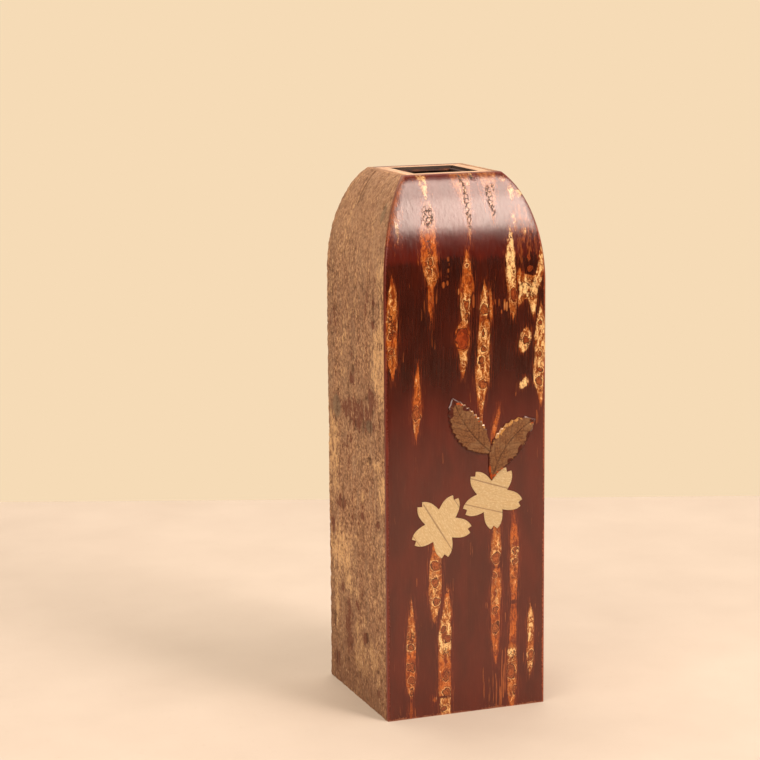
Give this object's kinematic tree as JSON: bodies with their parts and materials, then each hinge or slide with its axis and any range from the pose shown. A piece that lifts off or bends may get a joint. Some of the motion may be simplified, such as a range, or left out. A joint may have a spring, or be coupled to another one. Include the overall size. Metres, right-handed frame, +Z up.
{
  "type": "cherry bark vase",
  "caption": "Tall square flower vase faced with cherry bark, polished in front and rough at the sides, with inlaid blossoms and leaves and a lift-out water tube.",
  "frame": {"origin": "middle of the flat underside, where the vase stands", "axes": "+Z up along the vase's axis, the polished front with the blossoms faces -Y, the rough bark side seen beside it faces -X"},
  "size_m": [0.08, 0.081, 0.254],
  "materials": {
    "core_wood": "fine sanded, bare",
    "polished_bark": "polished to a soft gloss",
    "rough_bark": "natural rough bark, matt",
    "blossom_wood": "fine sanded, satin",
    "leaf_bark": "carved rough bark, matt",
    "dark_copper": "dark patina"
  },
  "bodies": {
    "vase_body": {"front_board": "core_wood", "right_board": "core_wood", "back_board": "core_wood", "left_board": "core_wood", "base_board": "core_wood", "front_bark": "polished_bark", "back_bark": "polished_bark", "left_bark": "rough_bark", "right_bark": "rough_bark", "upper_blossom": "blossom_wood", "lower_blossom": "blossom_wood", "left_leaf": "leaf_bark", "right_leaf": "leaf_bark"},
    "water_tube": {"tube_wall": "dark_copper", "tube_floor": "dark_copper", "tube_rim": "dark_copper"}
  },
  "joints": [
    {"name": "tube_lift", "type": "slide", "parent": "vase_body", "child": "water_tube", "axis": [0, 0, 1], "range_m": [0, 0.25]}
  ]
}
